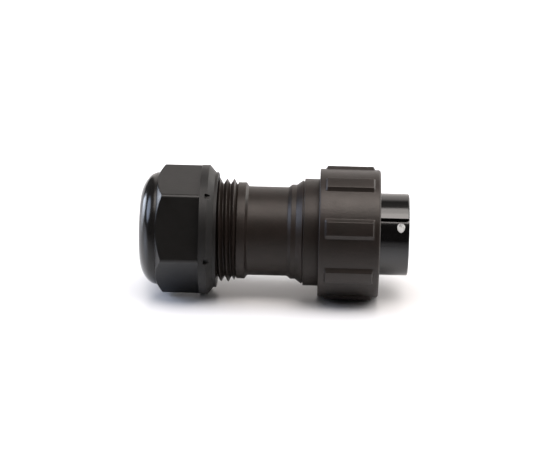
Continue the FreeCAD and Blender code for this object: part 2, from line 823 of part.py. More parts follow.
def makeCouplingRing():
    body = newBody("coupling_ring")
    corner = size["ringRound"]
    edge = size["ringBackEdge"]
    run = size["ribRun"]
    ribBack = ringBack + size["ribInset"]
    ribFront = ringFront - size["ribInset"]
    chamfer = size["ringMouthChamfer"]
    # the skirt of the backshell runs a little way into a shallow seat in the ring's back
    seatRadius = skirtRadius + size["ringSeatPlay"]
    seatEnd = backshellEnd + size["ringSeatPlay"]
    turned(
        body,
        [
            (seatEnd, ringBackBore),
            (seatEnd, seatRadius),
            (ringBack, seatRadius),
            (ringBack, ringLand - edge),
            (ringBack + edge, ringLand),
            (ribBack, ringLand),
            (ribBack + run, ribRadius),
            (ribFront - run, ribRadius),
            (ribFront, ringLand),
            (ringFront - corner, ringLand),
            (ringFront, ringLand - corner),
            (ringFront, ringBore + chamfer),
            (ringFront - chamfer, ringBore),
            (ringWebFront, ringBore),
            (ringWebFront, bearingBore),
            (ringWebBack, bearingBore),
            (ringWebBack, ringBackBore),
        ],
        {9: (corner, -1)},
    )
    # the raised band is milled away between the ribs, with a cove at the foot of each one
    pitch = asSize(360) / size["ribCount"]
    crestEdge = pitch / 2 - size["ribCrestHalf"]
    footEdge = pitch / 2 - size["ribFootHalf"]
    crestX = ribRadius * sine(crestEdge)
    crestZ = ribRadius * cosine(crestEdge)
    footX = ringLand * sine(footEdge)
    footZ = ringLand * cosine(footEdge)
    # in the frame of the foot the crest edge lies wide along the land and tall above it
    wide = ribRadius * sine(crestEdge - footEdge)
    tall = ribRadius * cosine(crestEdge - footEdge) - ringLand
    cove = (wide * wide + tall * tall) / (tall * 2)
    top = ribRadius + 1
    sketch = newSketch(body, "ValleyOutline", "YZ_Plane", ribBack)
    profile(
        sketch,
        [
            (-footX, footZ),
            (footX, footZ),
            (crestX, crestZ),
            (crestX, top),
            (-crestX, top),
            (-crestX, crestZ),
        ],
        {0: (ringLand, -1), 1: (cove, 1), 5: (cove, 1)},
    )
    valley = cutAlong(body, "Valley", sketch, ribFront - ribBack)
    around(body, "Valleys", [valley], size["ribCount"])
    # bayonet tracks in the bore: a straight entry, a rising ramp and a lock at its end
    deep = ringBore + size["rampDepth"]
    width = size["rampWidth"]
    entryEnd = ringFront - size["rampEntry"]
    low = ringBore - 0.5
    entry = slotAlong(body, "Entry", entryEnd, ringFront + 1, width, low, deep)
    around(body, "Entries", [entry], size["rampCount"])
    section = newSketch(body, "RampSection", "XZ_Plane")
    back = entryEnd - width / 2
    front = entryEnd + width / 2
    profile(section, [(back, low), (front, low), (front, deep), (back, deep)])
    ramp = body.newObject("PartDesign::SubtractiveHelix", "Ramp")
    ramp.Profile = section
    ramp.ReferenceAxis = (section, ["H_Axis"])
    ramp.Mode = "height-turns-angle"
    bind(ramp, "Height", size["rampRise"])
    bind(ramp, "Turns", size["rampTurn"] / 360)
    ramp.Reversed = True
    ramp.LeftHanded = False
    body.Tip = ramp
    around(body, "Ramps", [ramp], size["rampCount"])
    lockBack = back - size["rampRise"]
    lockFront = front - size["rampRise"] + size["lockDepth"]
    lock = slotAlong(body, "Lock", lockBack, lockFront, width, low, deep, -size["rampTurn"])
    around(body, "Locks", [lock], size["rampCount"])


makeGlandNut()
makeClampCage()
makeCableSeal()
makeBackshell()
makePlugShell()
makeIndexDot()
makeFrontInsert()
makeRearInsert()
makeWireGrommet()
makeContacts()
makeShellGasket()
washerRadius = socketRadius - size["insertPlay"] * 2
makeWasher(
    "grommet_washer",
    stepStart + size["faceGap"],
    size["washerThickness"],
    washerRadius - size["washerWidth"],
    washerRadius,
)
makeRetainingClip()
makeWasher("thrust_washer", thrustBack, size["thrustThickness"], bearingBore, clipRadius)
makeWasher("slip_washer", slipBack, size["slipThickness"], bearingBore, flangeRadius)
makeWaveSpring()
interfaceBore = sealLand + size["faceGap"]
makeWasher(
    "interface_seal",
    interfaceBack,
    size["interfaceLength"],
    interfaceBore,
    interfaceBore + size["interfaceWidth"],
)
makeCouplingRing()
doc.recompute()

failed = [
    thing.Name
    for thing in doc.Objects
    if "Invalid" in thing.State or "Error" in thing.State
]
failed += [thing.Name for thing in parts if thing.Shape.isNull() or not thing.Shape.isValid()]
if failed:
    raise SystemExit("these objects did not build: " + ", ".join(failed))

os.makedirs("parts", exist_ok=True)
for thing in parts:
    thing.Shape.exportStep(f"parts/{thing.Label}.step")
    print(f"{thing.Label}: {len(thing.Shape.Solids)} solid, {thing.Shape.Volume:.2f} mm3")
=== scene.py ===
import math

import bpy
from mathutils import Matrix, Vector


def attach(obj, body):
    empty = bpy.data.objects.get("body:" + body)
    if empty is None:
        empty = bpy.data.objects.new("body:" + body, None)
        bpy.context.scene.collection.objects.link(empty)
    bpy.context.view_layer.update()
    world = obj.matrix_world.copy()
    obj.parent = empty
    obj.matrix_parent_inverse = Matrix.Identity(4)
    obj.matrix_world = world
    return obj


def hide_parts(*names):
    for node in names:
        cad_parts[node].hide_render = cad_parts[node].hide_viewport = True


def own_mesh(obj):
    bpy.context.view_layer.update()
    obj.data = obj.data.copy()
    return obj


# A small bayonet plug of moulded plastic, lying on its side on a white table.
# The plug's axis is X, and the cable enters at x = 0. Sizes in the dictionaries are millimetres
# and degrees. A profile lists the corners of a half section: x, radius, rounding.

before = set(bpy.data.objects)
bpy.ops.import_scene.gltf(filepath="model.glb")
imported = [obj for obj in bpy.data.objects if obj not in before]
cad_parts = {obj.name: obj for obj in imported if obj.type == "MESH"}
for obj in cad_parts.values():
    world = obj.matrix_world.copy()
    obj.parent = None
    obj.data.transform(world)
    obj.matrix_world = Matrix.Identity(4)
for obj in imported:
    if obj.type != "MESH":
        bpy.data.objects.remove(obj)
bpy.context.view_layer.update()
mm = 0.001
print("frame loaded:", len(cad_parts), "nodes")

# What all the modelled pieces share.
making = {
    "mergeWithin": 0.002,
    "sideShare": 0.48,  # how much of a side one rounding may take
}


def selectOnly(piece):
    bpy.ops.object.select_all(action="DESELECT")
    piece.select_set(True)
    bpy.context.view_layer.objects.active = piece


def around(x, radius, angle):
    # the point at an angle in radians, counted about the axis from +Z towards -Y
    return Vector((x, -radius * math.sin(angle), radius * math.cos(angle)))


def rounded(corners, steps=4):
    # the outline with those corners rounded that have a rounding
    outline = []
    most = making["sideShare"]
    for index, corner in enumerate(corners):
        here = Vector(corner[:2])
        soft = corner[2] if len(corner) > 2 else 0
        if not soft:
            outline.append(tuple(here))
            continue
        back = Vector(corners[index - 1][:2]) - here
        ahead = Vector(corners[(index + 1) % len(corners)][:2]) - here
        half = back.angle(ahead) / 2
        trim = min(soft / math.tan(half), most * back.length, most * ahead.length)
        soft = trim * math.tan(half)
        middle = here + (back.normalized() + ahead.normalized()).normalized() * soft / math.sin(half)
        first = here + back.normalized() * trim - middle
        last = here + ahead.normalized() * trim - middle
        turn = first.angle_signed(last)
        for step in range(steps + 1):
            angle = -turn * step / steps
            spun = Vector((
                first.x * math.cos(angle) - first.y * math.sin(angle),
                first.x * math.sin(angle) + first.y * math.cos(angle),
            ))
            outline.append(tuple(middle + spun))
    return outline


def arc(centre, radius, start, end, steps):
    return [
        (
            centre[0] + radius * math.cos(math.radians(start + (end - start) * k / steps)),
            centre[1] + radius * math.sin(math.radians(start + (end - start) * k / steps)),
        )
        for k in range(steps + 1)
    ]


def divided(outline, spacing, inside):
    # splits the sides of an outline whose ends pass the test into steps of about spacing
    result = []
    for index, start in enumerate(outline):
        end = outline[(index + 1) % len(outline)]
        parts = 1
        if inside(*start) and inside(*end):
            parts = max(1, math.ceil(math.dist(start, end) / spacing))
        for k in range(parts):
            share = k / parts
            result.append((
                start[0] + (end[0] - start[0]) * share,
                start[1] + (end[1] - start[1]) * share,
            ))
    return result


def drawOutline(name, points):
    # a closed line through the points (x, y, z), made from a circle with as many vertices
    bpy.ops.object.select_all(action="DESELECT")
    bpy.ops.mesh.primitive_circle_add(vertices=len(points), radius=mm)
    piece = bpy.context.object
    piece.name = piece.data.name = name
    for vertex, point in zip(piece.data.vertices, points):
        vertex.co = Vector(point) * mm
    return piece


def tidyMesh(piece):
    selectOnly(piece)
    bpy.ops.object.mode_set(mode="EDIT")
    bpy.ops.mesh.select_all(action="SELECT")
    bpy.ops.mesh.remove_doubles(threshold=making["mergeWithin"] * mm)
    bpy.ops.mesh.normals_make_consistent(inside=False)
    bpy.ops.object.mode_set(mode="OBJECT")


def turnedPiece(name, outline, sides):
    # spins a closed half section about the X axis
    piece = drawOutline(name, [(x, 0, radius) for x, radius in outline])
    bpy.ops.object.mode_set(mode="EDIT")
    bpy.ops.mesh.select_all(action="SELECT")
    bpy.ops.mesh.spin(steps=sides, angle=2 * math.pi, center=(0, 0, 0), axis=(1, 0, 0))
    bpy.ops.object.mode_set(mode="OBJECT")
    tidyMesh(piece)
    return piece


def prism(name, outline, start, end, turn):
    # a closed outline (y, z), turned about the axis from +Z towards -Y and drawn out along X
    c, s = math.cos(math.radians(turn)), math.sin(math.radians(turn))
    piece = drawOutline(name, [(start, y * c - z * s, y * s + z * c) for y, z in outline])
    bpy.ops.object.mode_set(mode="EDIT")
    bpy.ops.mesh.select_all(action="SELECT")
    bpy.ops.mesh.edge_face_add()
    bpy.ops.mesh.extrude_region_move(TRANSFORM_OT_translate={"value": ((end - start) * mm, 0, 0)})
    bpy.ops.object.mode_set(mode="OBJECT")
    tidyMesh(piece)
    return piece


def block(name, start, end, width, low, high, turn):
    # a box along X, from low to high above the axis
    half = width / 2
    return prism(name, [(-half, low), (half, low), (half, high), (-half, high)], start, end, turn)


def keyBlock(name, start, end, width, floor, top, turn, steps=12):
    # a straight-sided cutter whose floor follows the barrel round
    across = [width * (k / steps - 0.5) for k in range(steps + 1)]
    outline = [(y, math.sqrt(floor ** 2 - y ** 2)) for y in across]
    return prism(name, outline + [(width / 2, top), (-width / 2, top)], start, end, turn)


def applyModifier(piece, modifier):
    selectOnly(piece)
    bpy.ops.object.modifier_apply(modifier=modifier.name)


def coiled(name, section, angle, sweep, advance, steps, turns=1, triangles=False):
    # a closed section (x, radius) at an angle, swept about the axis as it moves along it;
    # a cutter whose faces are triangles leaves cleaner edges in a finely divided bore
    piece = drawOutline(name, [around(x, radius, angle) for x, radius in section])
    coil = piece.modifiers.new("Coil", "SCREW")
    coil.axis = "X"
    coil.angle = sweep
    coil.screw_offset = advance * mm
    coil.iterations = turns
    coil.steps = coil.render_steps = steps
    coil.use_merge_vertices = False
    applyModifier(piece, coil)
    selectOnly(piece)
    bpy.ops.object.mode_set(mode="EDIT")
    bpy.ops.mesh.select_all(action="DESELECT")
    bpy.ops.mesh.select_non_manifold()
    bpy.ops.mesh.edge_face_add()
    if triangles:
        bpy.ops.mesh.select_all(action="SELECT")
        bpy.ops.mesh.quads_convert_to_tris()
    bpy.ops.object.mode_set(mode="OBJECT")
    tidyMesh(piece)
    return piece


def carve(piece, cutter, operation="DIFFERENCE"):
    modifier = piece.modifiers.new("Carve", "BOOLEAN")
    modifier.operation = operation
    modifier.solver = "EXACT"
    modifier.object = cutter
    applyModifier(piece, modifier)
    bpy.data.objects.remove(cutter)


def soften(piece, width, angle):
    modifier = piece.modifiers.new("Soften", "BEVEL")
    modifier.width = width * mm
    modifier.segments = 2
    modifier.limit_method = "ANGLE"
    modifier.angle_limit = math.radians(angle)
    applyModifier(piece, modifier)


def smoothShade(piece, angle):
    # smooth across the edges that turn by less than angle
    selectOnly(piece)
    bpy.ops.object.shade_smooth_by_angle(angle=math.radians(angle))


def softMin(a, b, blend):
    nearness = max(blend - abs(a - b), 0) / blend
    return min(a, b) - nearness * nearness * blend / 4


def along(table, share):
    # the value between the rows (share, value) of a table
    for (a, low), (b, high) in zip(table, table[1:]):
        if share <= b:
            return low + (high - low) * (share - a) / (b - a)
    return table[-1][1]


def regrid(piece, period, warp, turn, shape):
    # gathers the columns of a turned piece where warp asks for them, then gives each vertex
    # the radius that shape returns for its x, radius and angle within the period
    for vertex in piece.data.vertices:
        x = vertex.co.x / mm
        radius = math.hypot(vertex.co.y, vertex.co.z) / mm
        angle = math.degrees(math.atan2(-vertex.co.y, vertex.co.z))
        local = (angle + period / 2) % period - period / 2
        moved = math.copysign(along(warp, abs(local) * 2 / period), local)
        spot = math.radians(angle - local + moved + turn)
        vertex.co = around(x, shape(x, radius, moved), spot) * mm


def nodeMaterial(name):
    material = bpy.data.materials.new(name)
    material.use_nodes = True
    return material, material.node_tree.nodes, material.node_tree.links


def noise(nodes, links, scale, detail=4, roughness=0.55, stretch=None):
    place = nodes.new("ShaderNodeTexCoord")
    texture = nodes.new("ShaderNodeTexNoise")
    texture.inputs["Scale"].default_value = scale
    texture.inputs["Detail"].default_value = detail
    texture.inputs["Roughness"].default_value = roughness
    if stretch:
        mapping = nodes.new("ShaderNodeMapping")
        mapping.inputs["Scale"].default_value = stretch
        links.new(place.outputs["Object"], mapping.inputs["Vector"])
        links.new(mapping.outputs["Vector"], texture.inputs["Vector"])
    else:
        links.new(place.outputs["Object"], texture.inputs["Vector"])
    return texture.outputs["Fac"]


def spread(nodes, links, value, low, high, fromLow=0.3, fromHigh=0.7):
    change = nodes.new("ShaderNodeMapRange")
    change.inputs["From Min"].default_value = fromLow
    change.inputs["From Max"].default_value = fromHigh
    change.inputs["To Min"].default_value = low
    change.inputs["To Max"].default_value = high
    links.new(value, change.inputs["Value"])
    return change.outputs["Result"]


def mixed(nodes, links, share, dark, light):
    mix = nodes.new("ShaderNodeMix")
    mix.data_type = "RGBA"
    links.new(share, mix.inputs["Factor"])
    mix.inputs["A"].default_value = (*dark, 1)
    mix.inputs["B"].default_value = (*light, 1)
    return mix.outputs["Result"]


def colourStops(nodes, stops):
    ramp = nodes.new("ShaderNodeValToRGB")
    elements = ramp.color_ramp.elements
    while len(elements) < len(stops):
        elements.new(0.5)
    for element, (place, colour) in zip(elements, stops):
        element.position = place
        element.color = (*colour, 1)
    return ramp


def greyAlong(nodes, links, axis, start, end, stops):
    # grey values that change along one axis of the piece, between two stations in millimetres
    place = nodes.new("ShaderNodeTexCoord")
    split = nodes.new("ShaderNodeSeparateXYZ")
    links.new(place.outputs["Object"], split.inputs[0])
    ramp = colourStops(nodes, [(spot, (value,) * 3) for spot, value in stops])
    links.new(spread(nodes, links, split.outputs[axis], 0, 1, start * mm, end * mm), ramp.inputs["Fac"])
    return ramp.outputs["Color"]


def bumped(nodes, links, height, depth, strength=1.0, under=None):
    bump = nodes.new("ShaderNodeBump")
    bump.inputs["Strength"].default_value = strength
    bump.inputs["Distance"].default_value = depth * mm
    links.new(height, bump.inputs["Height"])
    if under is not None:
        links.new(under, bump.inputs["Normal"])
    return bump.outputs["Normal"]


# Moulded plastic: a slow colour drift, uneven gloss, a fine tooled grain and a soft mottle.
# Each pattern has its scale per metre, its detail and its roughness.
plastic = {
    "drift": (170, 6, 0.78), "gloss": (420, 6, 0.6), "grain": (9000, 3), "mottle": (2200, 2),
    "bumpStrength": 0.5,
}


def moulded(
    name, dark, light, roughness, level=0.3, grain=0.008, mottle=0.02, tint=(1, 1, 1), glossAlong=None
):
    # glossAlong lists (x, share of the roughness) where the finish changes along the piece
    material, nodes, links = nodeMaterial(name)
    shader = nodes["Principled BSDF"]
    shader.inputs["Specular IOR Level"].default_value = level
    shader.inputs["Specular Tint"].default_value = (*tint, 1)
    drift = spread(nodes, links, noise(nodes, links, *plastic["drift"]), 0, 1)
    links.new(mixed(nodes, links, drift, dark, light), shader.inputs["Base Color"])
    gloss = spread(nodes, links, noise(nodes, links, *plastic["gloss"]), *roughness)
    if glossAlong:
        end = glossAlong[-1][0]
        stops = [(x / end, value) for x, value in glossAlong]
        rough = nodes.new("ShaderNodeMath")
        rough.operation = "MULTIPLY"
        links.new(gloss, rough.inputs[0])
        links.new(greyAlong(nodes, links, "X", 0, end, stops), rough.inputs[1])
        gloss = rough.outputs[0]
    links.new(gloss, shader.inputs["Roughness"])
    strength = plastic["bumpStrength"]
    fine = bumped(nodes, links, noise(nodes, links, *plastic["grain"]), grain, strength)
    soft = bumped(nodes, links, noise(nodes, links, *plastic["mottle"]), mottle, strength, fine)
    links.new(soft, shader.inputs["Normal"])
    return material


finishes = {
    "nut_plastic": moulded(
        "nutPlastic", (0.0068, 0.0062, 0.0056), (0.01, 0.0093, 0.0086), roughness=(0.46, 0.56),
        # the dome is polished, the hexagon satin and the collar matt
        glossAlong=[(0, 0.28), (2.9, 0.28), (4.0, 0.66), (12.8, 0.66), (13.1, 1), (20, 1)],
    ),
    "shell_plastic": moulded(
        "shellPlastic", (0.0094, 0.0076, 0.0058), (0.0168, 0.0116, 0.0098), roughness=(0.38, 0.45),
        level=0.29, grain=0.014, mottle=0.04, tint=(1, 0.94, 0.9),
    ),
    "ring_plastic": moulded(
        "ringPlastic", (0.008, 0.0064, 0.0048), (0.0146, 0.0098, 0.0082), roughness=(0.37, 0.44),
        level=0.41, grain=0.014, mottle=0.045, tint=(1, 0.94, 0.9),
    ),
    "plug_plastic": moulded(
        "plugPlastic", (0.002, 0.0019, 0.0021), (0.0036, 0.0034, 0.0036), roughness=(0.09, 0.15),
        level=0.66, grain=0.003, mottle=0.006,
    ),
    "cage_plastic": moulded("cagePlastic", (0.03, 0.03, 0.03), (0.045, 0.045, 0.045), (0.4, 0.5)),
    "insert_plastic": moulded("insertPlastic", (0.012, 0.012, 0.013), (0.02, 0.02, 0.021), (0.35, 0.45)),
    "slide_plastic": moulded("slidePlastic", (0.55, 0.54, 0.5), (0.66, 0.65, 0.6), (0.35, 0.45)),
    "seal_rubber": moulded("sealRubber", (0.01, 0.01, 0.01), (0.016, 0.016, 0.016), (0.55, 0.7)),
    "grommet_rubber": moulded("grommetRubber", (0.25, 0.07, 0.04), (0.32, 0.09, 0.055), (0.5, 0.6)),
}

# White paint with short scratches that let the dark plastic through.
paint = {
    "white": (0.74, 0.75, 0.75), "scratch": (0.2, 0.2, 0.21), "roughness": 0.45, "depth": 0.03,
    "wear": (2600, 5, 0.7, (1, 0.5, 0.25)), "wearRange": (0.34, 0.47),
}


def dotPaint():
    material, nodes, links = nodeMaterial("dotPaint")
    shader = nodes["Principled BSDF"]
    wear = spread(nodes, links, noise(nodes, links, *paint["wear"]), 0, 1, *paint["wearRange"])
    links.new(mixed(nodes, links, wear, paint["scratch"], paint["white"]), shader.inputs["Base Color"])
    shader.inputs["Roughness"].default_value = paint["roughness"]
    links.new(bumped(nodes, links, wear, paint["depth"]), shader.inputs["Normal"])
    return material


# Bare metal, a little darker in places and brushed about the axis.
bareMetal = {"drift": (900, 4), "darker": 0.85, "brushed": (2500, 4, 0.6, (0.1, 1, 1))}


def metal(name, colour, roughness):
    material, nodes, links = nodeMaterial(name)
    shader = nodes["Principled BSDF"]
    shader.inputs["Metallic"].default_value = 1.0
    drift = spread(nodes, links, noise(nodes, links, *bareMetal["drift"]), 0, 1)
    dark = [part * bareMetal["darker"] for part in colour]
    links.new(mixed(nodes, links, drift, dark, colour), shader.inputs["Base Color"])
    gloss = spread(nodes, links, noise(nodes, links, *bareMetal["brushed"]), *roughness)
    links.new(gloss, shader.inputs["Roughness"])
    return material


finishes["dot_paint"] = dotPaint()
finishes["contact_metal"] = metal("contactMetal", (0.83, 0.62, 0.28), (0.18, 0.3))
finishes["spring_steel"] = metal("springSteel", (0.62, 0.62, 0.6), (0.22, 0.35))
print("materials made")


def dress(piece, slot, body, *nodes):
    piece.data.materials.clear()
    piece.data.materials.append(finishes[slot])
    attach(piece, body)
    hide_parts(*nodes)


# The gland nut: a dome, a hexagon with rounded corners, a collar with six notches and a lip.
nut = {
    "flat": 12.0, "corner": 13.8, "cornerRound": 1.0, "turn": 70.7, "edge": 0.1, "smoothUnder": 38,
    "hexFrom": 2.5, "hexEnd": 12.91, "hexInside": 11.3,
    "mouth": (0, 6.5, 0.1), "mouthEdge": 6.65, "crown": 6.494, "crownSteps": 14,
    "knuckle": 2.75, "knuckleSteps": 9, "domeBase": 3.8, "join": (-2.694, 2.6),
    # share of the columns and the angle that they reach, from a flat's middle to a corner
    "columns": 540, "warp": [(0, 0), (0.55, 23.5), (1, 30)], "side": 60,
    # spacing of the rings of vertices, and the stretch of x and smallest radius that get it
    "rowsNearDome": (0.07, 3.7, 5.3, 11.5), "rowsOnHexagon": (0.8, -1, 13, 11.5),
    "notchWidth": 1.2, "notchStart": 14.0, "notchEnd": 16, "notchFloor": 13.05, "notchTop": 15,
}
nut["profile"] = [
    (5.05, nut["corner"], 0.12), (12.9, nut["corner"]),  # hexagon
    (12.94, nut["corner"]), (14.55, nut["corner"], 0.15), (15.85, 12.3, 0.15),  # collar, bevel
    (16.5, 12.3, 0.2), (16.5, 11.5, 0.1), (16.0, 11.05),  # lip
    (5.4, 11.05), (5.4, 8.8), (2.6, 6.5, 0.25),  # room for the thread, cone
]


def hexRadius(angle):
    # distance from the axis to the rounded hexagon, the angle counted from a flat's middle
    angle, half, soft = abs(angle), nut["side"] / 2, nut["cornerRound"]
    reach = (nut["flat"] - soft) / math.cos(math.radians(half))
    flatEnd = math.degrees(math.atan2(reach * 0.5, nut["flat"]))
    if angle <= flatEnd:
        return nut["flat"] / math.cos(math.radians(angle))
    off = math.radians(half - angle)
    return reach * math.cos(off) + math.sqrt(soft ** 2 - (reach * math.sin(off)) ** 2)


def nutShape(x, radius, angle):
    if not nut["hexFrom"] <= x <= nut["hexEnd"] or radius < nut["hexInside"]:
        return radius
    return softMin(radius, hexRadius(angle), nut["edge"])


def makeNut():
    join = math.degrees(math.atan2(nut["join"][1], nut["join"][0]))
    dome = arc((nut["crown"], nut["mouthEdge"]), nut["crown"], 180, join, nut["crownSteps"])
    knuckleCentre = (nut["domeBase"], nut["flat"] - nut["knuckle"])
    dome += arc(knuckleCentre, nut["knuckle"], join, 90, nut["knuckleSteps"])[1:]
    outline = rounded([nut["mouth"]] + dome[1:] + nut["profile"])
    for spacing, start, end, least in (nut["rowsNearDome"], nut["rowsOnHexagon"]):
        outline = divided(outline, spacing, lambda x, radius: start < x < end and radius > least)
    piece = turnedPiece("glandNut", outline, nut["columns"])
    regrid(piece, nut["side"], nut["warp"], nut["turn"], nutShape)
    for number in range(6):
        carve(piece, block(
            "notchCutter", nut["notchStart"], nut["notchEnd"], nut["notchWidth"], nut["notchFloor"],
            nut["notchTop"], nut["turn"] + nut["side"] * (number + 0.5),
        ))
    smoothShade(piece, nut["smoothUnder"])
    dress(piece, "nut_plastic", "nut", "gland_nut")


makeNut()
print("gland nut made")

# The backshell carries the thread that the nut runs on. The groove is a coiled V, placed by a
# crest's station on the silhouette's upper edge, at phaseAngle.
backshell = {
    "pitch": 1.5, "crest": 11.0, "root": 9.88, "crestFlat": 0.1, "rootFlat": 0.1, "phase": 18.25,
    "phaseAngle": -19.3, "turns": 9, "turnsBefore": 7, "coilSteps": 108,
    "above": 0.04, "beside": 0.01,  # how far the groove's cutter stands past the crests
    "grooveZone": [(8, 9), (8, 12), (20.6, 12), (20.6, 9)], "zoneColumns": 72, "columns": 216,
    "smoothUnder": 32,
    "profile": [
        (9.6, 8.6), (9.6, 10.3), (10.3, 11.0), (20.05, 11.0),  # threaded spigot
        (20.65, 9.85, 0.1), (20.7, 9.85), (20.7, 10.3, 0.12), (22.45, 10.3, 0.2),  # collar
        (23.0, 9.5, 0.35), (31.45, 9.5, 0.5),  # neck
        (32.2, 10.1, 0.3), (33.2, 10.1, 0.25), (34.62, 11.12, 0.1),  # small step, cone
        (34.66, 10.85), (34.84, 10.85), (34.9, 11.43, 0.12), (38.4, 11.43, 0.22),  # slit, skirt
        (38.4, 9.0, 0.1), (32.0, 9.0), (32.0, 8.0), (20.3, 8.0), (20.3, 6.8), (18.8, 6.8),
        (18.8, 8.6),
    ],
}


def makeBackshell():
    piece = turnedPiece("backshell", rounded(backshell["profile"]), backshell["columns"])
    pitch, root = backshell["pitch"], backshell["root"]
    top = backshell["crest"] + backshell["above"]
    wide = (pitch - backshell["crestFlat"]) / 2 + backshell["beside"]
    narrow = backshell["rootFlat"] / 2
    start = backshell["phase"] + pitch / 2 - backshell["turnsBefore"] * pitch
    section = [(start - narrow, root), (start + narrow, root), (start + wide, top), (start - wide, top)]
    cutter = coiled(
        "threadCutter", section, math.radians(backshell["phaseAngle"]), 2 * math.pi, pitch,
        backshell["coilSteps"], backshell["turns"],
    )
    limit = turnedPiece("grooveLimit", backshell["grooveZone"], backshell["zoneColumns"])
    carve(cutter, limit, "INTERSECT")
    carve(piece, cutter)
    smoothShade(piece, backshell["smoothUnder"])
    dress(piece, "shell_plastic", "plug", "backshell")


makeBackshell()
print("backshell made")

# The coupling ring has eight grip ribs with sloping sides, and three bayonet tracks in its bore.
ring = {
    "land": 13.65, "crestHalf": 5.7, "footHalf": 9.0, "edge": 0.12, "cove": 0.25,
    "ribsBetween": (39, 50), "ribPitch": 45, "columns": 448, "edgeSteps": 5, "smoothUnder": 38,
    "warp": [(0, 0), (0.0714, 5.0), (0.2857, 6.3), (0.643, 9.3), (1, 22.5)],
    "profile": [
        (38.55, 10.6), (38.55, 11.58), (38.1, 11.58, 0.08), (38.1, 13.65, 0.3),  # seat, back
        (39.3, 13.65, 0.1), (39.7, 14.3, 0.1), (49.4, 14.3, 0.1), (49.8, 13.65, 0.1),  # ribs
        (51.0, 13.65, 0.7), (51.0, 10.5, 0.45),  # front
        (42.4, 10.5), (42.4, 9.35), (40.2, 9.35), (40.2, 10.6),  # bore
    ],
    "cutFrom": 9.9, "cutTo": 11.8, "trackWidth": 2.6, "entryEnd": 48.5, "entryFront": 52,
    "rise": 2.9, "lockFront": 47.5, "rampSteps": 30,
    # the ramp is a hair smaller than the straight cuts, so that no two walls share a plane
    "hairAside": 0.013, "hairBelow": 0.02, "hairDeep": 0.017,
}


def ribShare(angle):
    # how much of the rib's height stands at an angle from the rib's middle
    climb = max((ring["footHalf"] - abs(angle)) / (ring["footHalf"] - ring["crestHalf"]), 0)
    return max(softMin(climb + ring["cove"] * min(climb - 1, 0) * climb, 1, ring["edge"]), 0)


def ringShape(x, radius, angle):
    first, last = ring["ribsBetween"]
    if radius <= ring["land"] or not first < x < last:
        return radius
    return ring["land"] + (radius - ring["land"]) * ribShare(angle)


def makeRing():
    piece = turnedPiece("couplingRing", rounded(ring["profile"], ring["edgeSteps"]), ring["columns"])
    regrid(piece, ring["ribPitch"], ring["warp"], ring["ribPitch"] / 2, ringShape)
    low, deep, width = ring["cutFrom"], ring["cutTo"], ring["trackWidth"]
    back, front = ring["entryEnd"] - width / 2, ring["entryEnd"] + width / 2
    rampBack, rampFront = back + ring["hairAside"], front - ring["hairAside"]
    rampLow, rampDeep = low - ring["hairBelow"], deep - ring["hairDeep"]
    ramp = [(rampBack, rampLow), (rampFront, rampLow), (rampFront, rampDeep), (rampBack, rampDeep)]
    lockBack = back - ring["rise"]
    for turn in (0, 120, 240):
        carve(piece, block("entryCutter", ring["entryEnd"], ring["entryFront"], width, low, deep, turn))
        carve(piece, coiled(
            "rampCutter", ramp, math.radians(turn), -math.pi / 2, -ring["rise"], ring["rampSteps"],
            triangles=True,
        ))
        carve(piece, block("lockCutter", lockBack, ring["lockFront"], width, low, deep, turn - 90))
    tidyMesh(piece)
    smoothShade(piece, ring["smoothUnder"])
    dress(piece, "ring_plastic", "ring", "coupling_ring")


makeRing()
print("coupling ring made")

# The plug shell: a polished barrel with one main and four minor keyways.
plug = {
    "turn": 59.4, "barrel": 8.75, "keyStart": 45.8, "keyEnd": 58.5, "keyTop": 11,
    # turn from the main keyway, width, depth
    "keys": [(0, 3.4, 1.1), (110, 1.6, 0.8), (150, 1.6, 0.8), (205, 1.6, 0.8), (250, 1.6, 0.8)],
    "columns": 240, "edge": 0.05, "edgeOver": 40, "smoothUnder": 40,
    "profile": [
        (32.65, 7.65), (32.65, 8.97, 0.1), (35.65, 8.97), (35.65, 8.25), (36.47, 8.25),
        (36.47, 8.97), (38.45, 8.97), (38.45, 9.28, 0.05), (39.05, 9.28), (39.05, 8.7),
        (39.75, 8.7), (39.75, 9.28), (43.65, 9.28), (43.65, 10.3), (45.0, 10.3),  # flange
        (45.0, 8.95), (46.075, 8.95), (46.075, 8.75), (57.2, 8.75, 0.4),  # barrel
        (57.2, 6.95, 0.2), (44.3, 6.95), (44.3, 7.65),  # bore
    ],
}


def makePlugShell():
    piece = turnedPiece("plugShell", rounded(plug["profile"]), plug["columns"])
    for turn, width, depth in plug["keys"]:
        carve(piece, keyBlock(
            "keyCutter", plug["keyStart"], plug["keyEnd"], width, plug["barrel"] - depth,
            plug["keyTop"], plug["turn"] + turn,
        ))
    soften(piece, plug["edge"], plug["edgeOver"])
    smoothShade(piece, plug["smoothUnder"])
    dress(piece, "plug_plastic", "plug", "plug_shell")


makePlugShell()
print("plug shell made")

# The index dot: a dab of paint on the keyway's floor, a little taller than wide.
dot = {
    "x": 55.4, "across": 0.84, "tall": 1.06, "drop": 0.1, "radius": 7.68, "sink": 0.22,
    "cells": 28, "flatShare": 0.86, "rimDrop": 0.25, "smoothUnder": 50,
    "ragged": [(0.03, 3, 0.4), (0.018, 7, 0), (0.012, 13, 1)],  # size, waves, phase
}


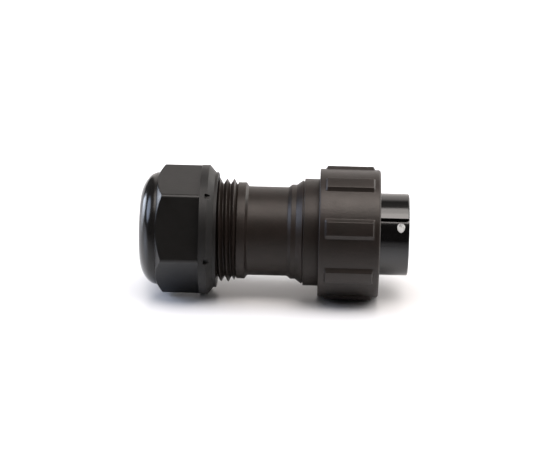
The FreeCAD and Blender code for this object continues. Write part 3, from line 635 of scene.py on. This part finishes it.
def makeDot():
    bpy.ops.object.select_all(action="DESELECT")
    bpy.ops.mesh.primitive_grid_add(x_subdivisions=dot["cells"], y_subdivisions=dot["cells"], size=2)
    piece = bpy.context.object
    piece.name = piece.data.name = "indexDot"
    turn = math.radians(plug["turn"])
    for vertex in piece.data.vertices:
        u, v = vertex.co.x, vertex.co.y
        a, b = u * math.sqrt(1 - v * v / 2), v * math.sqrt(1 - u * u / 2)
        angle = math.atan2(b, a)
        reach = 1 + sum(size * math.sin(waves * angle + phase) for size, waves, phase in dot["ragged"])
        rim = max(math.hypot(a, b) - dot["flatShare"], 0) * dot["rimDrop"]
        radius = dot["radius"] - rim
        spot = turn - (dot["tall"] * b * reach - dot["drop"]) / radius
        vertex.co = around(dot["x"] + dot["across"] * a * reach, radius, spot) * mm
    inward = tuple(around(0, -dot["sink"], turn) * mm)
    bpy.ops.object.mode_set(mode="EDIT")
    bpy.ops.mesh.select_all(action="SELECT")
    bpy.ops.mesh.extrude_region_move(TRANSFORM_OT_translate={"value": inward})
    bpy.ops.object.mode_set(mode="OBJECT")
    tidyMesh(piece)
    smoothShade(piece, dot["smoothUnder"])
    dress(piece, "dot_paint", "plug", "index_dot")


makeDot()
print("index dot made")

# The wave spring is a flat ribbon with three waves; the real spring flattens as the ring is pulled
# forward, but this piece is made only in its waved shape.
spring = {
    "middle": 43.2, "thick": 0.25, "inner": 9.48, "outer": 10.18, "edge": 0.05, "edgeSteps": 3,
    "columns": 144, "waves": 3, "swing": 0.3, "smoothUnder": 40,
    "keep": 0.43,  # share of its length that is left when the ring is fully forward
}


def makeWaveSpring():
    back, front = spring["middle"] - spring["thick"] / 2, spring["middle"] + spring["thick"] / 2
    inner, outer, edge = spring["inner"], spring["outer"], spring["edge"]
    ribbon = [(back, inner, edge), (front, inner, edge), (front, outer, edge), (back, outer, edge)]
    piece = turnedPiece("waveSpring", rounded(ribbon, spring["edgeSteps"]), spring["columns"])
    for vertex in piece.data.vertices:
        angle = math.atan2(vertex.co.z, vertex.co.y)
        vertex.co.x += spring["swing"] * math.cos(spring["waves"] * angle) * mm
    smoothShade(piece, spring["smoothUnder"])
    dress(piece, "spring_steel", "plug", "wave_spring")
    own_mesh(piece)


makeWaveSpring()
print("wave spring made")

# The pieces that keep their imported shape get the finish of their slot.
nodeSlots = {
    "clamp_cage": "cage_plastic", "cable_seal": "seal_rubber", "shell_gasket": "seal_rubber",
    "interface_seal": "seal_rubber", "wire_grommet": "grommet_rubber",
    "front_insert": "insert_plastic", "rear_insert": "insert_plastic",
    "grommet_washer": "slide_plastic", "slip_washer": "slide_plastic",
    "thrust_washer": "slide_plastic", "retaining_clip": "spring_steel",
}
for number in range(1, 9):
    nodeSlots[f"contact_{number}"] = "contact_metal"
for name, slot in nodeSlots.items():
    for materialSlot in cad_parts[name].material_slots:
        materialSlot.material = finishes[slot]
print("carried-over pieces finished")

studio = {
    "floor": -13.8, "floorEdges": (-1500, 1500, -400, 1500), "floorColour": (0.8, 0.8, 0.81),
    "floorRoughness": 0.22, "floorDrift": (12, 2), "floorLighter": 1.01,
    # how the floor fades out towards its near edge: share of the way to the plug, opacity
    "floorFade": [(0, 0), (0.45, 0.2), (0.86, 0.4), (0.93, 0.75), (0.96, 1), (1, 1)],
    # soft spots of light: direction, cosines where each starts and is full, radiance
    "lamps": [
        ((-0.82, 0.57, 0.0), 0.973, 0.99, (7.6, 8.2, 9.4)),
        ((-0.89, 0.0, 0.46), 0.93, 0.985, (5.6, 6.6, 8.6)),
        ((0.86, 0.4, 0.3), 0.75, 0.95, (2.4, 2.35, 2.3)),
    ],
    # radiance by the angle about X, from the viewer's horizon over the top to the far horizon
    "bands": [
        (0.0, 0.04), (56, 0.04), (61, 6.6), (78, 6.6), (84, 4.6), (95, 4.6), (102, 0.3), (126, 0.12),
        (137, 1.15), (180, 1.25),
    ],
    # tint, place along X, half width where it starts and stops to fade, share left beyond that
    "bandSpan": ((1.0, 0.94, 0.905), 0.17, 0.43, 0.57, 0.05),
    # the same for the light that falls on matt surfaces, from a broader ceiling
    "sky": [
        (0, 0.02), (40, 0.06), (60, 0.8), (80, 2.4), (104, 3.2), (116, 1.7), (128, 0.4), (180, 0.3),
    ],
    "skySpan": ((1.0, 0.99, 0.98), -0.14, 0.48, 0.72, 0.06),
}


def makeTable():
    bpy.ops.object.select_all(action="DESELECT")
    bpy.ops.mesh.primitive_plane_add(size=2)
    floor = bpy.context.object
    floor.name = "table"
    left, right, near, far = studio["floorEdges"]
    for vertex in floor.data.vertices:
        side, depth = (left, right)[vertex.co.x > 0], (near, far)[vertex.co.y > 0]
        vertex.co = Vector((side, depth, studio["floor"])) * mm
    material, nodes, links = nodeMaterial("tablePaper")
    shader = nodes["Principled BSDF"]
    shader.inputs["Roughness"].default_value = studio["floorRoughness"]
    shade = spread(nodes, links, noise(nodes, links, *studio["floorDrift"]), 0, 1)
    colour = studio["floorColour"]
    light = [part * studio["floorLighter"] for part in colour]
    links.new(mixed(nodes, links, shade, colour, light), shader.inputs["Base Color"])
    links.new(greyAlong(nodes, links, "Y", near, 0, studio["floorFade"]), shader.inputs["Alpha"])
    floor.data.materials.append(material)


def makeWorld():
    # glossy surfaces see an overhead softbox, a dim backdrop and the lamps; matt ones see the
    # sky; the camera sees white
    world = bpy.data.worlds.new("studio")
    bpy.context.scene.world = world
    world.use_nodes = True
    nodes, links = world.node_tree.nodes, world.node_tree.links
    place = nodes.new("ShaderNodeTexCoord")
    split = nodes.new("ShaderNodeSeparateXYZ")
    links.new(place.outputs["Generated"], split.inputs[0])

    def calculate(operation, *values):
        node = nodes.new("ShaderNodeMath")
        node.operation = operation
        for socket, value in zip(node.inputs, values):
            if isinstance(value, (int, float)):
                socket.default_value = value
            else:
                links.new(value, socket)
        return node.outputs[0]

    def smooth(value, *limits):
        # limits are where the change starts and ends, and the values there
        node = nodes.new("ShaderNodeMapRange")
        node.interpolation_type = "SMOOTHSTEP"
        for socket, limit in zip(("From Min", "From Max", "To Min", "To Max"), limits):
            node.inputs[socket].default_value = limit
        links.new(value, node.inputs["Value"])
        return node.outputs["Result"]

    def choose(ray, otherwise, chosen):
        # one light for rays of a kind, another for the rest
        mix = nodes.new("ShaderNodeMix")
        mix.data_type = "RGBA"
        links.new(seen.outputs[ray], mix.inputs["Factor"])
        links.new(otherwise, mix.inputs["A"])
        if isinstance(chosen, tuple):
            mix.inputs["B"].default_value = chosen
        else:
            links.new(chosen, mix.inputs["B"])
        return mix.outputs["Result"]

    away = calculate("MULTIPLY", split.outputs["Y"], -1)
    rise = calculate("DIVIDE", calculate("ARCTAN2", split.outputs["Z"], away), math.pi)

    def strip(bands, tint, aside, low, high, rest):
        # light that changes with the angle about X and falls off to both sides
        peak = max(value for _, value in bands)
        stops = [(angle / 180, [value / peak * part for part in tint]) for angle, value in bands]
        ramp = colourStops(nodes, stops)
        links.new(rise, ramp.inputs["Fac"])
        beside = calculate("ABSOLUTE", calculate("SUBTRACT", split.outputs["X"], aside))
        light = nodes.new("ShaderNodeVectorMath")
        light.operation = "SCALE"
        links.new(ramp.outputs["Color"], light.inputs[0])
        links.new(smooth(beside, low, high, peak, peak * rest), light.inputs["Scale"])
        return light.outputs["Vector"]

    total = strip(studio["bands"], *studio["bandSpan"])
    for direction, edge, full, colour in studio["lamps"]:
        toward = nodes.new("ShaderNodeVectorMath")
        toward.operation = "DOT_PRODUCT"
        links.new(place.outputs["Generated"], toward.inputs[0])
        toward.inputs[1].default_value = Vector(direction).normalized()
        lamp = nodes.new("ShaderNodeVectorMath")
        lamp.operation = "SCALE"
        lamp.inputs[0].default_value = colour
        links.new(smooth(toward.outputs["Value"], edge, full, 0, 1), lamp.inputs["Scale"])
        both = nodes.new("ShaderNodeVectorMath")
        both.operation = "ADD"
        links.new(total, both.inputs[0])
        links.new(lamp.outputs["Vector"], both.inputs[1])
        total = both.outputs["Vector"]
    seen = nodes.new("ShaderNodeLightPath")
    onMatt = choose("Is Diffuse Ray", total, strip(studio["sky"], *studio["skySpan"]))
    final = choose("Is Camera Ray", onMatt, (1, 1, 1, 1))
    links.new(final, nodes["Background"].inputs["Color"])


shot = {
    "from": (39.4, -481.0, 168.6), "at": (27.6, 0.42, 1.21), "roll": 1.1, "lens": 158.8,
    "sensor": 36, "near": 10, "far": 20000,
}


def makeCamera():
    camera = bpy.data.cameras.new("camera")
    camera.lens = shot["lens"]
    camera.sensor_width = shot["sensor"]
    camera.clip_start, camera.clip_end = shot["near"] * mm, shot["far"] * mm
    stand = bpy.data.objects.new("camera", camera)
    bpy.context.scene.collection.objects.link(stand)
    stand.location = Vector(shot["from"]) * mm
    aim = (Vector(shot["at"]) - Vector(shot["from"])).to_track_quat("-Z", "Y").to_matrix()
    stand.rotation_euler = (aim @ Matrix.Rotation(math.radians(shot["roll"]), 3, "Z")).to_euler()
    bpy.context.scene.camera = stand


makeTable()
makeWorld()
makeCamera()
bpy.context.scene.view_settings.view_transform = "Standard"
print("studio made")
